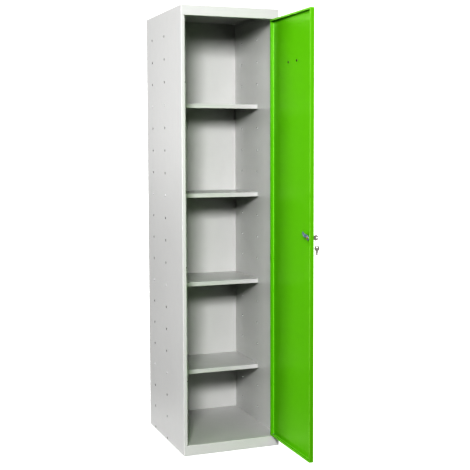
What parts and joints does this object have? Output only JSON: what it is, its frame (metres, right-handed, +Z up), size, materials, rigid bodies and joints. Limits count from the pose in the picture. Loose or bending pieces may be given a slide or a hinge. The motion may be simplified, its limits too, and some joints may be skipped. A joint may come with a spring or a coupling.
{
  "type": "school locker",
  "caption": "Tall folded-steel school locker with fixed tray shelves, a full-height pan door on corner pivot pins, a cam lock, and keys on a ring.",
  "frame": {"origin": "middle of the cabinet's base, on the floor", "axes": "+Z up, -Y towards the front (the door side), +X towards the hinge side"},
  "size_m": [0.435, 0.8715, 1.8],
  "materials": {
    "body_paint": "fine satin powder coat, light grey",
    "door_paint": "fine satin powder coat, yellow-green",
    "zinc_plate": "bright zinc plate",
    "nylon": "natural nylon",
    "rubber": "matt black rubber",
    "lock_chrome": "polished chrome plate",
    "nut_black": "black passivated zinc alloy",
    "cam_steel": "blue passivated steel, brushed",
    "brass": "yellow passivated screw",
    "key_nickel": "worn nickel plate"
  },
  "bodies": {
    "cabinet": {"left_side_panel": "body_paint", "right_side_panel": "body_paint", "back_panel": "body_paint", "top_panel": "body_paint", "base_panel": "body_paint", "shelf_1": "body_paint", "shelf_2": "body_paint", "shelf_3": "body_paint", "shelf_4": "body_paint", "shelf_bolts": "zinc_plate", "shelf_nuts": "zinc_plate", "top_hinge_bush": "nylon", "bottom_hinge_bush": "nylon", "door_buffers": "rubber"},
    "door": {"door_pan": "door_paint", "top_pin_plate": "door_paint", "bottom_pin_plate": "door_paint", "top_hinge_pin": "zinc_plate", "bottom_hinge_pin": "zinc_plate", "card_holder": "zinc_plate", "card_holder_rivets": "zinc_plate", "lock_housing": "lock_chrome", "lock_nut": "nut_black"},
    "lock_plug": {"lock_plug": "lock_chrome", "lock_cam": "cam_steel", "cam_screw": "brass"},
    "key": {"key": "key_nickel"},
    "key_ring": {"key_ring": "key_nickel"},
    "spare_key": {"spare_key": "key_nickel"}
  },
  "joints": [
    {"name": "door_hinge", "type": "hinge", "parent": "cabinet", "child": "door", "pos_m": [0.1855, -0.245, 0.9], "axis": [0, 0, 1], "range_deg": [-90, 12]},
    {"name": "lock_turn", "type": "hinge", "parent": "door", "child": "lock_plug", "pos_m": [0.1905, -0.5955, 0.902], "axis": [1, 0, 0], "range_deg": [-31, 149]},
    {"name": "key_withdraw", "type": "slide", "parent": "lock_plug", "child": "key", "axis": [1, 0, 0], "range_m": [0, 0.02]},
    {"name": "ring_swing", "type": "hinge", "parent": "key", "child": "key_ring", "pos_m": [0.2155, -0.5955, 0.8995], "axis": [0, -1, 0], "range_deg": [-12, 80]},
    {"name": "spare_key_swing", "type": "hinge", "parent": "key_ring", "child": "spare_key", "pos_m": [0.2155, -0.5955, 0.8685], "axis": [0, -1, 0], "range_deg": [-8, 60]}
  ]
}
